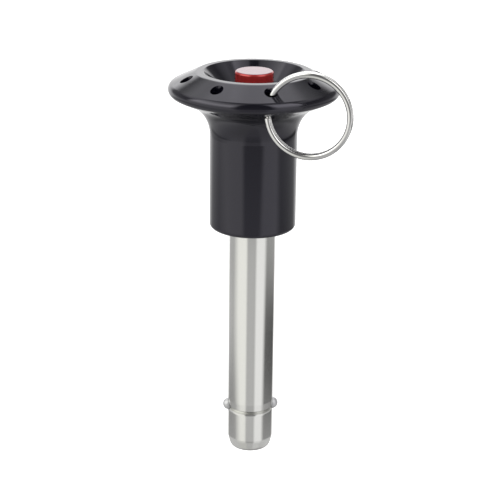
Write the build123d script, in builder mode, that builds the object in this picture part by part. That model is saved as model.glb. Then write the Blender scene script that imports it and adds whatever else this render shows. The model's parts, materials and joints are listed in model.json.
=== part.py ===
from build123d import *
from math import asin, atan, atan2, cos, degrees, hypot, pi, radians, sin, sqrt, tan
import os

# Ball lock pin, 10 mm shank, 40 mm grip, in millimetres.
# Heights run along the pin: 0 is the shoulder where the handle's underside meets the shank,
# positive heights are in the handle and negative ones are towards the tip.
# The pin lies on its side, on the flange's rim and the tip, as it comes to rest on a table.

# ---- shank: hollow stainless pin with two ball holes
shank_diameter = 10.0
nose_diameter = 9.9  # the end past the balls
grip_length = 40.2  # of the wall that the held parts ride on
ball_line_depth = 41.65  # shoulder to the balls' centres
ball_band_relief = 0.03  # the wall eases in by this from the grip to the balls' line
groove_depth = 0.35  # groove turned at the balls' line, measured from the nose
groove_slope = 25.0
groove_round_radius = 2.0
tip_depth = 51.75
taper_length = 2.55  # of the nose, up from the tip
tip_taper_angle = 15.0
tip_round_radius = 1.4
taper_round_radius = 2.5
bore_floor_thickness = 1.7
tail_diameter = 9.5  # the reduced end inside the handle
tail_length = 15.5
tail_chamfer = 0.4

# ---- locking balls
ball_diameter = 2.6
ball_protrusion = 1.12  # past the shank's surface when locked
ball_travel = 1.14
ball_hole_clearance = 0.01
ball_turn = 5.0  # degrees that the balls' line is turned about the pin
ball_seat_clearance = 0.02  # ball to spindle

# ---- handle: one turned piece with a flange, a dish and eight lanyard holes
body_diameter = 18.5
body_edge_radius = 0.9
neck_radius = 7.8
flange_diameter = 36.2
flange_underside_slope = 24.8
flange_top_slope = 25.9
flange_edge_radius = 1.35
flange_edge_height = 30.3  # height of the centre of the flange's rounded edge
crest_width = 1.42
crest_outer_round = 1.3
crest_inner_radius = 10.7
crest_inner_round = 0.35
dish_depth = 4.2
dish_floor_radius = 6.6
dish_round = 2.6
web_thickness = 2.6  # between the dish's floor and the bore
hole_count = 8
hole_circle_diameter = 28.9
hole_diameter = 2.7
first_hole_angle = 13.5  # degrees from the pin's upper side to the ring's hole

# ---- push button and spindle
button_diameter = 8.15
button_hole_clearance = 0.1
button_stand = 0.15  # the button's top above the crest
button_edge_radius = 0.5
collar_diameter = 9.2
collar_thickness = 1.6
collar_edge_round = 0.2
plunger_travel = 4.4
spigot_diameter = 4.0
spigot_length = 5.0
spindle_rod_diameter = 4.8
spindle_bore_clearance = 0.05
spindle_end_gap = 0.5  # left under the spindle when it is pressed
guide_land_length = 3.5
recess_spare = 1.0  # past the balls when it is pressed
ramp_spare = 0.6
land_spare = 0.05
spindle_edge_chamfer = 0.3

# ---- return spring
spring_wire_diameter = 0.8
spring_mean_diameter = 8.2
spring_turns = 7.0
spring_seat_gap = 0.02

# ---- split ring: flat wire in two turns, with a step in the hole where one crosses to the other
ring_outer_diameter = 18.2
ring_wire_width = 1.25
ring_wire_thickness = 0.65
ring_wire_round = 0.3
ring_turn_gap = 0.03
ring_step_angle = 36.0
ring_swing = 64.0  # degrees about the hole, from straight out
ring_drop = 1.74  # the ring's centre is this far below the hole's middle

assembly_gap = 0.02  # at glued, screwed or seated faces

# ---- sizes that follow
foot_height = 0.0  # the handle's foot, which the held parts stop at
shoulder_height = foot_height - assembly_gap  # the shank's full diameter starts here
shank_radius = shank_diameter / 2
nose_radius = nose_diameter / 2
body_radius = body_diameter / 2
edge_centre_radius = flange_diameter / 2 - flange_edge_radius
hole_radius = hole_diameter / 2
hole_circle_radius = hole_circle_diameter / 2
tail_radius = tail_diameter / 2
handle_bore_radius = tail_radius + assembly_gap
button_radius = button_diameter / 2
button_hole_radius = button_radius + button_hole_clearance
top_slope = tan(radians(flange_top_slope))
underside_slope = tan(radians(flange_underside_slope))
top_at_axis = (
    flange_edge_height
    + flange_edge_radius / cos(radians(flange_top_slope))
    + edge_centre_radius * top_slope
)
underside_at_axis = (
    flange_edge_height
    - flange_edge_radius / cos(radians(flange_underside_slope))
    - edge_centre_radius * underside_slope
)
crest_outer_radius = crest_inner_radius + crest_width
crest_height = top_at_axis - crest_outer_radius * top_slope
dish_floor_height = crest_height - dish_depth
button_top_height = crest_height + button_stand
bore_ceiling_height = dish_floor_height - web_thickness
collar_top_height = bore_ceiling_height - assembly_gap
collar_bottom_height = collar_top_height - collar_thickness
ball_radius = ball_diameter / 2
ball_centre_radius = shank_radius + ball_protrusion - ball_radius

# The spindle's ramp is parallel to the way that a ball's centre moves against the spindle.
ramp_slope = ball_travel / plunger_travel
ramp_angle = atan(ramp_slope)
ball_reach = ball_radius + ball_seat_clearance
contact_radius = ball_centre_radius - ball_reach * cos(ramp_angle)
contact_height = -ball_line_depth - ball_reach * sin(ramp_angle)
land_radius = contact_radius + land_spare * ramp_slope
land_height = contact_height - land_spare
ramp_length = land_spare + plunger_travel + ramp_spare
recess_radius = land_radius - ramp_length * ramp_slope
guide_height = ball_radius - ball_line_depth + plunger_travel + recess_spare
shank_bore_radius = land_radius + spindle_bore_clearance
taper_start_depth = tip_depth - taper_length
bore_floor_height = bore_floor_thickness - tip_depth
spindle_end_height = bore_floor_height + plunger_travel + spindle_end_gap

# ---- the pin's own directions, lying on the flange's rim and the tip
lie_run = flange_edge_height + taper_start_depth
lie_rise = edge_centre_radius - nose_radius
lie_slope = atan2(lie_rise, lie_run) + asin(flange_edge_radius / hypot(lie_run, lie_rise))
shoulder = Vector(0, 0, 0)
sideways = Vector(1, 0, 0)
towards_head = Vector(0, cos(lie_slope), sin(lie_slope))
upper_side = Vector(0, -sin(lie_slope), cos(lie_slope))
pin_axis = Axis(shoulder, towards_head)


def outwards(angle):
    """The direction out of the pin at an angle, in degrees, from its upper side."""
    return sideways * sin(radians(angle)) + upper_side * cos(radians(angle))


def on_pin(angle, radius, height):
    """The point at a radius from the pin's axis and a height along it."""
    return shoulder + outwards(angle) * radius + towards_head * height


def half_plane(angle):
    """A plane through the axis: x is the radius and y the height along the pin."""
    return Plane(origin=shoulder, x_dir=outwards(angle), z_dir=outwards(angle).cross(towards_head))


def cross_plane(height):
    """A plane square to the pin, facing the head."""
    return Plane(origin=on_pin(0, 0, height), x_dir=sideways, z_dir=towards_head)


def half_section(corners):
    """The closed face with these corners, each a radius, a height and the rounding there."""
    with BuildSketch(half_plane(90)) as section:
        with BuildLine():
            FilletPolyline(
                [(radius, height) for radius, height, _ in corners],
                radius=[rounding for _, _, rounding in corners],
                close=True,
            )
        make_face()
    return section.sketch


def write(builder, name):
    builder.part.label = name
    export_step(builder.part, f"parts/{name}.step")


os.makedirs("parts", exist_ok=True)


# ---- handle
rim_corner_radius = (top_at_axis - underside_at_axis) / (underside_slope + top_slope)


def underside_height(radius):
    return underside_at_axis + radius * underside_slope


handle_corners = [
    (handle_bore_radius, foot_height, 0),
    (body_radius, foot_height, body_edge_radius),
    (body_radius, underside_height(body_radius), neck_radius),
    (rim_corner_radius, underside_height(rim_corner_radius), flange_edge_radius),
    (crest_outer_radius, crest_height, crest_outer_round),
    (crest_inner_radius, crest_height, crest_inner_round),
    (dish_floor_radius, dish_floor_height, dish_round),
    (button_hole_radius, dish_floor_height, 0),
    (button_hole_radius, bore_ceiling_height, 0),
    (handle_bore_radius, bore_ceiling_height, 0),
]
with BuildPart() as handle:
    revolve(half_section(handle_corners), axis=pin_axis)
    with BuildSketch(cross_plane(0)):
        for index in range(hole_count):
            turn = radians(first_hole_angle + index * 360 / hole_count)
            with Locations((hole_circle_radius * sin(turn), -hole_circle_radius * cos(turn))):
                Circle(hole_radius)
    extrude(amount=crest_height, mode=Mode.SUBTRACT)
write(handle, "handle")


# ---- shank
groove_top_height = -ball_line_depth
groove_foot_height = groove_top_height - groove_depth / tan(radians(groove_slope))
taper_foot_radius = nose_radius - taper_length * tan(radians(tip_taper_angle))
shank_corners = [
    (shank_bore_radius, tail_length, 0),
    (tail_radius - tail_chamfer, tail_length, 0),
    (tail_radius, tail_length - tail_chamfer, 0),
    (tail_radius, shoulder_height, 0),
    (shank_radius, shoulder_height, 0),
    (shank_radius, -grip_length, 0),
    (shank_radius - ball_band_relief, groove_top_height, 0),
    (nose_radius - groove_depth, groove_top_height, 0),
    (nose_radius, groove_foot_height, groove_round_radius),
    (nose_radius, -taper_start_depth, taper_round_radius),
    (taper_foot_radius, -tip_depth, tip_round_radius),
    (0, -tip_depth, 0),
    (0, bore_floor_height, 0),
    (shank_bore_radius, bore_floor_height, 0),
]
ball_angles = {"left": ball_turn - 90, "right": ball_turn + 90}
with BuildPart() as shank:
    revolve(half_section(shank_corners), axis=pin_axis)
    for angle in ball_angles.values():
        ball_place = on_pin(angle, ball_centre_radius, -ball_line_depth)
        with Locations(Plane(origin=ball_place, x_dir=towards_head, z_dir=outwards(angle))):
            Sphere(ball_radius + ball_hole_clearance, mode=Mode.SUBTRACT)
            Cylinder(
                ball_radius + ball_hole_clearance,
                ball_centre_radius,
                align=(Align.CENTER, Align.CENTER, Align.MAX),
                mode=Mode.SUBTRACT,
            )
write(shank, "shank")


# ---- locking balls
for side, angle in ball_angles.items():
    ball_place = on_pin(angle, ball_centre_radius, -ball_line_depth)
    with BuildPart() as ball:
        with Locations(Plane(origin=ball_place, x_dir=towards_head, z_dir=outwards(angle))):
            Sphere(ball_radius)
    write(ball, f"locking_ball_{side}")


# ---- push button
collar_radius = collar_diameter / 2
spigot_hole_radius = spigot_diameter / 2 + assembly_gap
spigot_hole_top = collar_bottom_height + spigot_length + assembly_gap
button_corners = [
    (spigot_hole_radius, collar_bottom_height, 0),
    (collar_radius, collar_bottom_height, collar_edge_round),
    (collar_radius, collar_top_height, collar_edge_round),
    (button_radius, collar_top_height, 0),
    (button_radius, button_top_height, button_edge_radius),
    (0, button_top_height, 0),
    (0, spigot_hole_top, 0),
    (spigot_hole_radius, spigot_hole_top, 0),
]
with BuildPart() as push_button:
    revolve(half_section(button_corners), axis=pin_axis)
write(push_button, "push_button")


# ---- spindle
rod_radius = spindle_rod_diameter / 2
rod_top_height = collar_bottom_height - assembly_gap
neck_top_height = guide_height - (land_radius - recess_radius)
spindle_corners = [
    (0, spindle_end_height, 0),
    (land_radius - spindle_edge_chamfer, spindle_end_height, 0),
    (land_radius, spindle_end_height + spindle_edge_chamfer, 0),
    (land_radius, land_height, 0),
    (recess_radius, land_height + ramp_length, 0),
    (recess_radius, neck_top_height, 0),
    (land_radius, guide_height, 0),
    (land_radius, guide_height + guide_land_length, 0),
    (rod_radius, guide_height + guide_land_length + land_radius - rod_radius, 0),
    (rod_radius, rod_top_height, 0),
    (spigot_diameter / 2, rod_top_height, 0),
    (spigot_diameter / 2, collar_bottom_height + spigot_length, 0),
    (0, collar_bottom_height + spigot_length, 0),
]
with BuildPart() as spindle:
    revolve(half_section(spindle_corners), axis=pin_axis)
write(spindle, "spindle")


# ---- return spring: a coil ground flat at both ends, between the shank and the button's collar
spring_foot_height = tail_length + spring_seat_gap
spring_length = collar_bottom_height - spring_seat_gap - spring_foot_height
spring_mean_radius = spring_mean_diameter / 2
with BuildPart() as return_spring:
    with BuildLine() as coil:
        Helix(
            spring_length / spring_turns,
            spring_length,
            spring_mean_radius,
            center=on_pin(0, 0, spring_foot_height),
            direction=towards_head,
        )
    with BuildSketch(Plane(origin=coil.line @ 0, z_dir=coil.line % 0)):
        Circle(spring_wire_diameter / 2)
    sweep(path=coil.line, is_frenet=True)
    with BuildSketch(cross_plane(spring_foot_height)):
        Circle(spring_mean_radius + spring_wire_diameter)
    extrude(amount=spring_length, mode=Mode.INTERSECT)
write(return_spring, "return_spring")


# ---- split ring, hanging in the first lanyard hole
hole_foot_height = underside_height(hole_circle_radius)
hole_head_height = top_at_axis - hole_circle_radius * top_slope
ring_centre_height = (hole_foot_height + hole_head_height) / 2 - ring_drop
ring_mean_radius = (ring_outer_diameter - ring_wire_width) / 2
ring_reaches = [
    sqrt(ring_mean_radius**2 - (height - ring_centre_height) ** 2)
    for height in (ring_centre_height, hole_head_height)
]
ring_direction = outwards(first_hole_angle + ring_swing)
ring_centre = (
    on_pin(first_hole_angle, hole_circle_radius, ring_centre_height)
    + ring_direction * sum(ring_reaches) / len(ring_reaches)
)
ring_plane = Plane(
    origin=ring_centre, x_dir=ring_direction, z_dir=ring_direction.cross(towards_head)
)
turn_rise = (ring_wire_thickness + ring_turn_gap) / 2
step_middle = 180 - degrees(asin(ring_drop / ring_mean_radius))  # in the hole
step_start = step_middle - ring_step_angle / 2
step_spans = 6


def on_ring(turn, rise):
    """The plane across the wire at a place round the ring, in degrees."""
    along = ring_plane.x_dir * cos(radians(turn)) + ring_plane.y_dir * sin(radians(turn))
    place = ring_centre + along * ring_mean_radius + ring_plane.z_dir * rise
    return Plane(origin=place, x_dir=along, z_dir=ring_plane.z_dir.cross(along))


def wire_section(plane):
    with BuildSketch(plane) as section:
        RectangleRounded(ring_wire_width, ring_wire_thickness, ring_wire_round)
    return section.sketch


step_shares = [index / step_spans for index in range(step_spans + 1)]
with BuildPart() as split_ring:
    loft(
        [
            wire_section(on_ring(step_start + share * ring_step_angle, turn_rise * cos(pi * share)))
            for share in step_shares
        ]
    )
    for start, rise, spin in (
        (step_start, turn_rise, -ring_plane.z_dir),
        (step_start + ring_step_angle, -turn_rise, ring_plane.z_dir),
    ):
        revolve(
            wire_section(on_ring(start, rise)),
            axis=Axis(ring_centre, spin),
            revolution_arc=360 - ring_step_angle,
        )
write(split_ring, "split_ring")
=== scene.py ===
import json
import math

import bpy
from mathutils import Matrix, Vector


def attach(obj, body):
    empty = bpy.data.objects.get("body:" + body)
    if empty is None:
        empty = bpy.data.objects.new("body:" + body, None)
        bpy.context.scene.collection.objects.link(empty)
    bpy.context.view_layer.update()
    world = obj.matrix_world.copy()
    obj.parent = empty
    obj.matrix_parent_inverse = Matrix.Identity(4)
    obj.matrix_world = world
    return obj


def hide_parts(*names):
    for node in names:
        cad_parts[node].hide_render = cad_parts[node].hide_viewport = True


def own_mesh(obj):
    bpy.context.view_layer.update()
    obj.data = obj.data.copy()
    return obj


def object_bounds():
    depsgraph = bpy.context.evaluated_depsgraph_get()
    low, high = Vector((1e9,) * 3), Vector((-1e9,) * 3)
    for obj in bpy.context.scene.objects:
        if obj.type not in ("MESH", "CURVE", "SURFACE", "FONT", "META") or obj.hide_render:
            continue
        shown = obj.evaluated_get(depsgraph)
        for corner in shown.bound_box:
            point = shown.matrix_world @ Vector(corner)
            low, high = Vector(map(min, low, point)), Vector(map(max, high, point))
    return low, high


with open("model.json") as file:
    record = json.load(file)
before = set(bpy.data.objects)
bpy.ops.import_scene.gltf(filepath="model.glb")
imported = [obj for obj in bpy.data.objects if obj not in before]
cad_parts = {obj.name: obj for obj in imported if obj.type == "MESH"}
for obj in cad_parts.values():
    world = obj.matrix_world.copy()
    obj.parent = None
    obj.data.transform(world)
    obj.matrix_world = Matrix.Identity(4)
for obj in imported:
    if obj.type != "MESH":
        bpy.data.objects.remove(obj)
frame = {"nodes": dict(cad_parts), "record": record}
cad_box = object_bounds()
nodes = frame["nodes"]
record = frame["record"]
scene = bpy.context.scene
scene.view_settings.view_transform = "Standard"

# ---- the pin's own directions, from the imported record
shank_mount = [m for m in record["mounts"] if m["name"] == "shank"][0]
shoulder = Vector(shank_mount["pos_m"])
towards_head = -Vector(shank_mount["axis"]).normalized()
sideways = Vector((1, 0, 0))
upper_side = sideways.cross(towards_head)
MM = 0.001


def on_pin(right, up, height):
    """A point from millimetres right of the pin's axis, above it and along it."""
    return shoulder + (sideways * right + upper_side * up + towards_head * height) * MM


# ---- camera
LENS, SENSOR, SHIFT = 122.4, 36.0, -0.00432
ELEVATION, ROLL = math.radians(19.14), math.radians(0.70)
DISTANCE = 368.12  # millimetres from the eye to the place it looks at
LOOK_HEIGHT = -5.51  # millimetres along the pin to that place
NEAR, FAR = 0.01, 10
look_at = on_pin(0, 0, LOOK_HEIGHT)
eye = on_pin(0, DISTANCE * math.cos(ELEVATION), LOOK_HEIGHT + DISTANCE * math.sin(ELEVATION))
view = (look_at - eye).normalized()
flat = view.cross(towards_head).normalized()
upright = flat.cross(view)
view_right = flat * math.cos(ROLL) + upright * math.sin(ROLL)
view_up = upright * math.cos(ROLL) - flat * math.sin(ROLL)
camera_data = bpy.data.cameras.new("camera")
camera_data.lens, camera_data.sensor_width = LENS, SENSOR
camera_data.shift_x = SHIFT
camera_data.clip_start, camera_data.clip_end = NEAR, FAR
camera = bpy.data.objects.new("camera", camera_data)
scene.collection.objects.link(camera)
camera.matrix_world = Matrix(
    [(*row, eye[i]) for i, row in enumerate(zip(view_right, view_up, -view))] + [(0, 0, 0, 1)]
)
scene.camera = camera


# ---- node helpers
class Nodes:
    """Builds a node tree a line at a time."""

    def __init__(self, tree):
        self.tree = tree
        tree.nodes.clear()

    def put(self, kind, **settings):
        node = self.tree.nodes.new(kind)
        for key, value in settings.items():
            setattr(node, key, value)
        return node

    def feed(self, socket, value):
        if isinstance(value, bpy.types.NodeSocket):
            self.tree.links.new(value, socket)
        else:
            socket.default_value = value

    def math(self, operation, *values, clamp=False):
        node = self.put("ShaderNodeMath", operation=operation, use_clamp=clamp)
        for socket, value in zip(node.inputs, values):
            self.feed(socket, value)
        return node.outputs[0]

    def vector(self, operation, *values):
        node = self.put("ShaderNodeVectorMath", operation=operation)
        sockets = (node.inputs[0], node.inputs["Scale"]) if operation == "SCALE" else node.inputs
        for socket, value in zip(sockets, values):
            self.feed(socket, value)
        return node.outputs["Value" if operation in ("DOT_PRODUCT", "LENGTH") else "Vector"]

    def joined(self, *values):
        node = self.put("ShaderNodeCombineXYZ")
        for socket, value in zip(node.inputs, values):
            self.feed(socket, value)
        return node.outputs[0]

    def noise(self, place, scale, detail=2.0, rough=0.5):
        node = self.put("ShaderNodeTexNoise")
        self.feed(node.inputs["Vector"], place)
        node.inputs["Scale"].default_value = scale
        node.inputs["Detail"].default_value = detail
        node.inputs["Roughness"].default_value = rough
        return node.outputs["Fac"]

    def ramp(self, value, stops, low, high):
        """A value from stops of (place, grey or colour) between low and high."""
        node = self.put("ShaderNodeValToRGB")
        elements = node.color_ramp.elements
        while len(elements) < len(stops):
            elements.new(0.5)
        for element, (place, colour) in zip(elements, stops):
            element.position = (place - low) / (high - low)
            if isinstance(colour, (int, float)):
                colour = (colour, colour, colour)
            element.color = (*colour, 1)
        share = self.math("DIVIDE", self.math("SUBTRACT", value, low), high - low, clamp=True)
        self.feed(node.inputs[0], share)
        return node.outputs[0]

    def mix(self, share, first, second):
        node = self.put("ShaderNodeMix", data_type="RGBA")
        self.feed(node.inputs["Factor"], share)
        for socket, value in ((node.inputs[6], first), (node.inputs[7], second)):
            if isinstance(value, (tuple, list)):
                value = (*value, 1)
            self.feed(socket, value)
        return node.outputs[2]

    def bump(self, height, strength, distance):
        node = self.put("ShaderNodeBump")
        node.inputs["Strength"].default_value = strength
        node.inputs["Distance"].default_value = distance
        self.feed(node.inputs["Height"], height)
        return node.outputs[0]

    def pin_place(self):
        """Radius and angle about the axis, height along it and the arm from the shoulder.

        Lengths are in millimetres, the angle in radians and the arm in metres.
        """
        place = self.put("ShaderNodeTexCoord").outputs["Object"]
        arm = self.vector("SUBTRACT", place, tuple(shoulder))
        across, rise, along = [
            self.math("MULTIPLY", self.vector("DOT_PRODUCT", arm, tuple(way)), 1 / MM)
            for way in (sideways, upper_side, towards_head)
        ]
        squares = [self.math("POWER", leg, 2.0) for leg in (across, rise)]
        radius = self.math("SQRT", self.math("ADD", *squares))
        return radius, self.math("ARCTAN2", across, rise), along, arm


def material(name, **sockets):
    made = bpy.data.materials.new(name)
    made.use_nodes = True
    tree = Nodes(made.node_tree)
    shader = tree.put("ShaderNodeBsdfPrincipled")
    for key, value in sockets.items():
        shader.inputs[key.replace("_", " ")].default_value = value
    output = tree.put("ShaderNodeOutputMaterial")
    tree.tree.links.new(shader.outputs[0], output.inputs[0])
    return made, tree, shader


WANDER = 0.02  # millimetres that a turning line strays along the pin
ROUND_THE_PIN = 0.05  # change of the lines with the angle, in millimetres for a radian
SPOT_SCALE = 900
LINE_SHARE, SPOT_SHARE = 0.7, 0.3
NOISE_LOW, NOISE_HIGH = 0.3, 0.7
LINE_STRENGTH = 0.2


def turned(tree, shader, low, high, fine, depth):
    """Fine turning lines round the pin, which set its roughness between low and high and its relief.

    Returns the roughness, the height along the pin and the arm from the shoulder.
    """
    radius, angle, along, arm = tree.pin_place()
    wander = tree.math("MULTIPLY", tree.math("SINE", angle), WANDER)
    drift = tree.math("MULTIPLY", angle, ROUND_THE_PIN)
    grain = tree.noise(tree.joined(tree.math("ADD", along, wander), radius, drift), fine, 3.0, 0.6)
    spots = tree.noise(tree.put("ShaderNodeTexCoord").outputs["Object"], SPOT_SCALE, 2.0)
    both = tree.math(
        "ADD", tree.math("MULTIPLY", grain, LINE_SHARE), tree.math("MULTIPLY", spots, SPOT_SHARE)
    )
    rough = tree.put("ShaderNodeMapRange")
    tree.feed(rough.inputs["Value"], both)
    limits = {"From Min": NOISE_LOW, "From Max": NOISE_HIGH, "To Min": low, "To Max": high}
    for socket, limit in limits.items():
        rough.inputs[socket].default_value = limit
    tree.feed(shader.inputs["Roughness"], rough.outputs[0])
    tree.feed(shader.inputs["Normal"], tree.bump(grain, LINE_STRENGTH, depth))
    return rough.outputs[0], along, arm


# ---- materials
black, tree, shader = material(
    "black_anodised", Base_Color=(0.003, 0.003, 0.006, 1), IOR=1.6, Specular_Tint=(0.91, 0.88, 1.0, 1)
)
turned(tree, shader, 0.06, 0.16, 9.0, 0.0000004)

# The groove under the balls is left as turned, rougher than the ground wall. Its duller, greyer colour is
# painted shade that damps its reflection, and more painted shade darkens its top corner, the rims of the
# balls' holes and a spot on each side of a ball.
GROOVE_TOP, GROOVE_FOOT = -41.65, -42.4
MASK_FOOT, MASK_TOP = -44, -40
UNDER_THE_WALL = [(GROOVE_TOP - 0.02, 1), (GROOVE_TOP + 0.02, 0)]
BALL_MASK_REACH = 4
# How far past a ball, in millimetres, the painted shade round it stays whole and where it has faded.
LIP_SHADE, BESIDE_SHADE = (0.08, 0.3), (0.4, 0.9)  # millimetres past a ball where the dark starts to fade and ends
# Of these colours, the groove's is greyed and the last is dark, and both are painted shade.
WALL_COLOUR, GROOVE_PAINTED_SHADE_COLOUR, PAINTED_SHADE_COLOUR = (0.745, 0.743, 0.722), (0.46, 0.46, 0.43), (0.2, 0.2, 0.19)
GROOVE_ROUGHNESS = 0.38
steel, tree, shader = material("ground_stainless", Metallic=0.97)
rough, along, arm = turned(tree, shader, 0.09, 0.14, 14.0, 0.0000002)
in_groove = tree.ramp(
    along, [(GROOVE_FOOT - 0.1, 0), (GROOVE_FOOT + 0.1, 1), *UNDER_THE_WALL], MASK_FOOT, MASK_TOP
)
# Painted shade: a dark band in the groove's top corner, under the wall.
painted_shade = tree.ramp(
    along, [(GROOVE_TOP - 0.3, 0), (GROOVE_TOP - 0.12, 1), *UNDER_THE_WALL], MASK_FOOT, MASK_TOP
)
for name in ("locking_ball_left", "locking_ball_right"):
    places = [v.co - shoulder for v in nodes[name].data.vertices]
    centre = sum(places, Vector()) / len(places)
    ball_radius = max((place - centre).length for place in places) / MM
    away = tree.vector("LENGTH", tree.vector("SUBTRACT", arm, tuple(centre)))
    away = tree.math("MULTIPLY", away, 1 / MM)
    lip_shade, beside_shade = [
        tree.ramp(away, [(ball_radius + full, 1), (ball_radius + clear, 0)], 0, BALL_MASK_REACH)
        for full, clear in (LIP_SHADE, BESIDE_SHADE)
    ]
    ball_height = centre.dot(towards_head) / MM
    beside_height = [(-0.5, 0), (-0.2, 1), (0.2, 1), (0.5, 0)]
    level_with = tree.ramp(
        along, [(ball_height + step, value) for step, value in beside_height], MASK_FOOT, MASK_TOP
    )
    # Painted shade at each ball: a ring at its hole's rim and a spot beside it, level with its middle.
    painted_ball_shade = tree.math("MAXIMUM", lip_shade, tree.math("MULTIPLY", beside_shade, level_with))
    painted_shade = tree.math("MAXIMUM", painted_shade, painted_ball_shade)
# The groove's greyer colour here is painted shade; the roughness after it is its turned finish.
steel_colour = tree.mix(painted_shade, tree.mix(in_groove, WALL_COLOUR, GROOVE_PAINTED_SHADE_COLOUR), PAINTED_SHADE_COLOUR)
tree.feed(shader.inputs["Base Color"], steel_colour)
tree.feed(shader.inputs["Roughness"], tree.mix(in_groove, rough, (GROOVE_ROUGHNESS,) * 3))

ball_steel, tree, shader = material("ball_steel", Base_Color=(0.62, 0.62, 0.63, 1), Metallic=0.9)
turned(tree, shader, 0.45, 0.60, 6.0, 0.0000005)

# Painted shade: the button's top is given a darker, bluer red than its side, against the bright light its
# coat reflects there.
TOP_FADE = (0.12, 0.04)  # millimetres under the button's top where its colour starts and is whole
SIDE_RED, PAINTED_SHADE_TOP_RED = (0.50, 0.03, 0.028), (0.15, 0.027, 0.055)
red, tree, shader = material("red_anodised", Metallic=0.35, Coat_Weight=0.5, Coat_Roughness=0.15)
_, along, _ = turned(tree, shader, 0.15, 0.22, 10.0, 0.0000006)
button_top = max((v.co - shoulder).dot(towards_head) for v in nodes["push_button"].data.vertices) / MM
fade = [(button_top - depth, value) for depth, value in zip(TOP_FADE, (0, 1))]
painted_shade_top = tree.ramp(along, fade, button_top - 1, button_top)
tree.feed(shader.inputs["Base Color"], tree.mix(painted_shade_top, SIDE_RED, PAINTED_SHADE_TOP_RED))

inner, tree, shader = material("inner_steel", Base_Color=(0.5, 0.5, 0.5, 1), Metallic=1.0)
turned(tree, shader, 0.25, 0.35, 10.0, 0.000004)

spring_steel, tree, shader = material("spring_steel", Base_Color=(0.45, 0.45, 0.46, 1), Metallic=1.0)
turned(tree, shader, 0.25, 0.35, 8.0, 0.000003)

# The ring's wire is crowned across its width, which the light shows as bright and dark lines round it.
bright, tree, shader = material("ring_steel", Base_Color=(0.80, 0.795, 0.785, 1), Metallic=1.0)
_, _, arm = turned(tree, shader, 0.06, 0.10, 7.0, 0.0000005)
RING_ANGLE = math.radians(77.5)  # of the ring's plane about the pin, from its upper side
WIRE_WIDTH = 1.25
CROWN = 0.0006  # metres of relief a millimetre off the wire's middle
ring_out = sideways * math.sin(RING_ANGLE) + upper_side * math.cos(RING_ANGLE)
offsets = []
for direction in (ring_out, towards_head):
    reach = [(v.co - shoulder).dot(direction) for v in nodes["split_ring"].data.vertices]
    ring_radius, middle = (max(reach) - min(reach)) / 2 / MM, (max(reach) + min(reach)) / 2
    run = tree.math("SUBTRACT", tree.vector("DOT_PRODUCT", arm, tuple(direction)), middle)
    offsets.append(tree.math("POWER", tree.math("MULTIPLY", run, 1 / MM), 2.0))
wire_middle = ring_radius - WIRE_WIDTH / 2
off_middle = tree.math("SUBTRACT", tree.math("SQRT", tree.math("ADD", *offsets)), wire_middle)
crown = tree.put("ShaderNodeBump")
crown.inputs["Strength"].default_value, crown.inputs["Distance"].default_value = 1.0, 1.0
tree.feed(crown.inputs["Height"], tree.math("MULTIPLY", tree.math("POWER", off_middle, 2.0), -CROWN))
tree.feed(crown.inputs["Normal"], shader.inputs["Normal"].links[0].from_socket)
tree.feed(shader.inputs["Normal"], crown.outputs[0])

for name, finish in (
    ("handle", black),
    ("shank", steel),
    ("locking_ball_left", ball_steel),
    ("locking_ball_right", ball_steel),
    ("push_button", red),
    ("spindle", inner),
    ("split_ring", bright),
):
    mesh = nodes[name].data
    mesh.materials.clear()
    mesh.materials.append(finish)


# ---- return spring: the same coil, built again as a round wire swept round its turns
coil_places = [v.co - shoulder for v in nodes["return_spring"].data.vertices]
coil_heights = [place.dot(towards_head) for place in coil_places]
coil_reach = max((place - towards_head * place.dot(towards_head)).length for place in coil_places)
foot, top = min(coil_heights), max(coil_heights)
WIRE, TURNS = 0.0008, 7
ROUND, STEPS = 16, 60  # faces round the wire, and steps in a turn
mean = coil_reach - WIRE / 2
verts, faces = [], []
for step in range(TURNS * STEPS + 1):
    share = step / (TURNS * STEPS)
    turn = 2 * math.pi * TURNS * share
    out = sideways * math.cos(turn) - upper_side * math.sin(turn)
    centre = foot + (top - foot) * share
    for index in range(ROUND):
        lean = 2 * math.pi * index / ROUND
        height = min(max(centre + WIRE / 2 * math.sin(lean), foot), top)
        verts.append(shoulder + out * (mean + WIRE / 2 * math.cos(lean)) + towards_head * height)
        if step:
            this, last = step * ROUND, (step - 1) * ROUND
            after = (index + 1) % ROUND
            faces.append((last + index, last + after, this + after, this + index))
faces.append(tuple(reversed(range(ROUND))))
faces.append(tuple(range(TURNS * STEPS * ROUND, (TURNS * STEPS + 1) * ROUND)))
coil_mesh = bpy.data.meshes.new("coil")
coil_mesh.from_pydata(verts, [], faces)
coil_mesh.validate()
coil_mesh.shade_smooth()
coil_mesh.materials.append(spring_steel)
coil = bpy.data.objects.new("coil", coil_mesh)
scene.collection.objects.link(coil)
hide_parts("return_spring")
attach(coil, "pin")
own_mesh(coil)

# ---- floor
REACH = 1.5
UNDER_THE_PIN = 0.00002
FLOOR_COLOUR, FLOOR_GLOW = (0.8, 0.8, 0.8, 1), 0.86
floor_mesh = bpy.data.meshes.new("floor")
ground = cad_box[0][2] - UNDER_THE_PIN
floor_mesh.from_pydata(
    [(-REACH, -REACH, ground), (REACH, -REACH, ground), (REACH, REACH, ground), (-REACH, REACH, ground)],
    [],
    [(0, 1, 2, 3)],
)
floor = bpy.data.objects.new("floor", floor_mesh)
scene.collection.objects.link(floor)
floor_look = bpy.data.materials.new("floor")
floor_look.use_nodes = True
tree = Nodes(floor_look.node_tree)
path = tree.put("ShaderNodeLightPath")
plain = tree.put("ShaderNodeBsdfDiffuse")
plain.inputs["Color"].default_value = FLOOR_COLOUR
pale = tree.put("ShaderNodeEmission")
tree.feed(pale.inputs["Strength"], tree.math("MULTIPLY", path.outputs["Is Camera Ray"], FLOOR_GLOW))
seen = tree.put("ShaderNodeAddShader")
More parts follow.
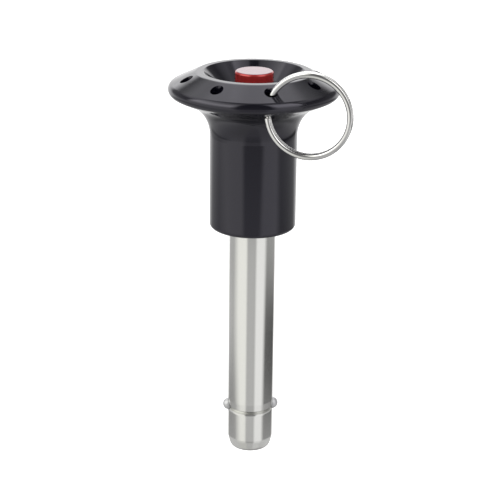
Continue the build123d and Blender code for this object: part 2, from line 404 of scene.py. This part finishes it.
tree.feed(seen.inputs[0], plain.outputs[0])
tree.feed(seen.inputs[1], pale.outputs[0])
clear = tree.put("ShaderNodeBsdfTransparent")
either = tree.math("MAXIMUM", path.outputs["Is Glossy Ray"], path.outputs["Is Transmission Ray"])
whole = tree.put("ShaderNodeMixShader")
tree.feed(whole.inputs[0], either)
tree.feed(whole.inputs[1], seen.outputs[0])
tree.feed(whole.inputs[2], clear.outputs[0])
tree.tree.links.new(whole.outputs[0], tree.put("ShaderNodeOutputMaterial").inputs[0])
floor_mesh.materials.append(floor_look)

# ---- studio: a soft box on each side of the camera with a dark gap between them, a darker room on the left
# and right, and a white wall behind the pin.
# Turn goes round the pin from the camera's side to its right, and lift rises towards its head.
world = bpy.data.worlds.new("studio")
scene.world = world
world.use_nodes = True
tree = Nodes(world.node_tree)
way = tree.put("ShaderNodeTexCoord").outputs["Generated"]
side, rise, along = [
    tree.vector("DOT_PRODUCT", way, tuple(direction))
    for direction in (sideways, upper_side, towards_head)
]
turn = tree.math("MULTIPLY", tree.math("ARCTAN2", side, rise), 180 / math.pi)
lift = tree.math("MULTIPLY", tree.math("ARCSINE", along), 180 / math.pi)
BRIGHTEST = 3.2
BIG_BOX_TINT = (1.0, 1.0, 0.965)
BOX_SOFT, GAP_SOFT, WALL_SOFT = 4, 5, 7  # degrees over which one light gives way to the next
DIFFUSE_LIGHT, BACKDROP = (0.9, 0.9, 0.9), (1, 1, 1)


def by_lift(stops):
    """Brightness by lift, as shares of the brightest light."""
    return tree.ramp(lift, [(place, value / BRIGHTEST) for place, value in stops], -90, 90)


def edge(stops):
    """Degrees round the pin by lift, for the edge of a light."""
    least, most = min(value for _, value in stops), max(value for _, value in stops)
    share = tree.ramp(lift, [(place, (value - least) / (most - least)) for place, value in stops], -90, 90)
    return tree.math("ADD", tree.math("MULTIPLY", share, most - least), least)


def past(value, limit, soft):
    """0 to 1 as a value passes a limit."""
    share = tree.math("DIVIDE", tree.math("SUBTRACT", value, limit), soft)
    return tree.math("MULTIPLY_ADD", share, 0.5, 0.5, clamp=True)


big_box = by_lift([
    (-90, 0.48), (-50, 0.62), (-30, 0.8), (-24, 1.03), (-16, 1.03), (-2, 0.95), (9, 1.4), (20, 2.2),
    (31, 3.0), (42, 2.6), (52, 1.9), (62, 1.35), (80, 0.4),
])
small_box = by_lift([
    (-90, 0.48), (-50, 0.68), (-30, 0.84), (-24, 1.0), (-16, 1.0), (-2, 0.92), (9, 1.25), (20, 1.7),
    (31, 2.2), (42, 2.4), (52, 2.4), (62, 1.9), (80, 0.4),
])
gap = by_lift([
    (-90, 0.48), (-50, 0.53), (-38, 0.42), (-28, 0.38), (-26, 0.56), (-19, 0.54), (-16, 0.36),
    (-10, 0.24), (0, 0.2), (20, 0.13), (60, 0.1), (80, 0.12),
])
left_room = by_lift([
    (-90, 0.4), (-62, 0.6), (-40, 0.62), (-29, 0.6), (-26, 0.42), (-24.2, 0.26), (-22.4, 0.5),
    (-21.2, 0.56), (-19, 0.46), (-16, 0.65), (-8, 0.95), (2, 0.58), (10, 0.34), (30, 0.32),
    (41, 1.0), (52, 1.1), (62, 0.75), (80, 0.3),
])
right_room = by_lift([
    (-90, 0.4), (-62, 0.4), (-50, 0.6), (-40, 0.66), (-28, 0.58), (-25.5, 0.32), (-23.5, 0.1),
    (-21.3, 0.06), (-20, 0.34), (-16, 0.5), (-9, 0.62), (0, 0.4), (10, 0.24), (34, 0.17),
    (50, 0.75), (60, 0.45), (80, 0.3),
])
wall = by_lift([
    (-90, 0.15), (-45, 0.3), (-30, 0.7), (-23, 0.9), (-12, 1.1), (-4, 1.35), (11, 1.45), (22, 2.3),
    (38, 2.25), (52, 2.05), (62, 1.85), (72, 1.1), (90, 0.3),
])
off_back = tree.math("SUBTRACT", 180, tree.math("ABSOLUTE", turn))
wall_reach = edge([
    (-45, 40), (-20, 30), (-9, 58), (1, 44), (10, 34), (20, 24), (30, 13), (42, 17), (54, 28),
    (70, 24),
])
left_edge = edge([
    (-50, -70), (-30, -68), (-25.2, -66), (-22.4, -86), (-21.3, -88), (-19, -84), (-10, -100),
    (5, -96), (38, -99), (54, -110),
])
right_edge = edge([
    (-26, 64), (-22, 68), (-19, 74), (-15, 68), (-10, 62), (8, 62), (20, 72), (40, 78), (52, 88),
])
left_soft, right_soft = edge([(-19, 17), (-12, 3.5)]), edge([(-19, 9), (-12, 3)])
gap_reach, gap_middle = edge([(-19, 22.2), (-15, 27.5)]), edge([(-19, -1.8), (-15, 0.5)])
off_gap = tree.math("ABSOLUTE", tree.math("SUBTRACT", turn, gap_middle))
colour = tree.mix(past(turn, 0, BOX_SOFT), tree.vector("MULTIPLY", big_box, BIG_BOX_TINT), small_box)
colour = tree.mix(past(gap_reach, off_gap, GAP_SOFT), colour, gap)
colour = tree.mix(past(turn, left_edge, left_soft), left_room, colour)
colour = tree.mix(past(turn, right_edge, right_soft), colour, right_room)
colour = tree.mix(past(wall_reach, off_back, WALL_SOFT), colour, wall)
colour = tree.vector("SCALE", colour, BRIGHTEST)
path = tree.put("ShaderNodeLightPath")
colour = tree.mix(path.outputs["Is Diffuse Ray"], colour, DIFFUSE_LIGHT)
colour = tree.mix(path.outputs["Is Camera Ray"], colour, BACKDROP)
back = tree.put("ShaderNodeBackground")
tree.feed(back.inputs["Color"], colour)
tree.tree.links.new(back.outputs[0], tree.put("ShaderNodeOutputWorld").inputs[0])
